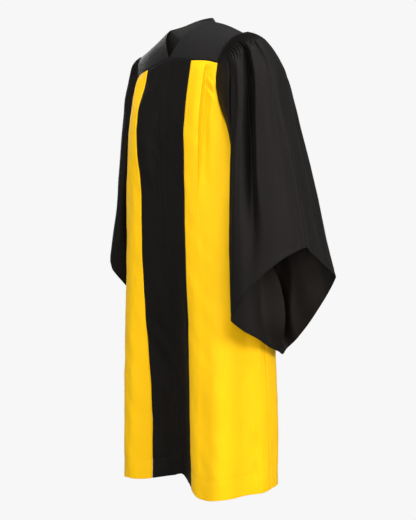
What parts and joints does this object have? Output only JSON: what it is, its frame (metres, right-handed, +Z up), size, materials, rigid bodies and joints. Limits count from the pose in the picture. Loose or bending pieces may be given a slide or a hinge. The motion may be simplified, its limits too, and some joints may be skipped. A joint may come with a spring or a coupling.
{
  "type": "choir robe",
  "caption": "Full-length V-neck choir robe in its worn shape, with yoke, fluted bell sleeves, contrasting side panels and a concealed front zip.",
  "frame": {"origin": "midway between the two neck points at the height of the collar line, where the wearer's shoulders hold the robe", "axes": "+Z up along the garment's length, +X towards the wearer's left, the front faces -Y"},
  "size_m": [0.7817, 0.3133, 1.3259],
  "materials": {
    "yoke_front_left": "matte black woven polyester",
    "yoke_front_right": "matte black woven polyester",
    "yoke_back": "matte black woven polyester",
    "front_center_left": "matte black woven polyester",
    "front_center_right": "matte black woven polyester",
    "front_side_left": "golden yellow woven polyester with a soft sheen",
    "front_side_right": "golden yellow woven polyester with a soft sheen",
    "back_panel": "golden yellow woven polyester with a soft sheen",
    "sleeve_left": "matte black woven polyester",
    "sleeve_right": "matte black woven polyester",
    "zip_tape": "matte black woven tape"
  },
  "bodies": {
    "root": {"yoke_front_left": "yoke_front_left", "yoke_front_right": "yoke_front_right", "yoke_back": "yoke_back", "front_center_left": "front_center_left", "front_center_right": "front_center_right", "front_side_left": "front_side_left", "front_side_right": "front_side_right", "back_panel": "back_panel", "sleeve_left": "sleeve_left", "sleeve_right": "sleeve_right", "zip_tape": "zip_tape"}
  },
  "joints": []
}
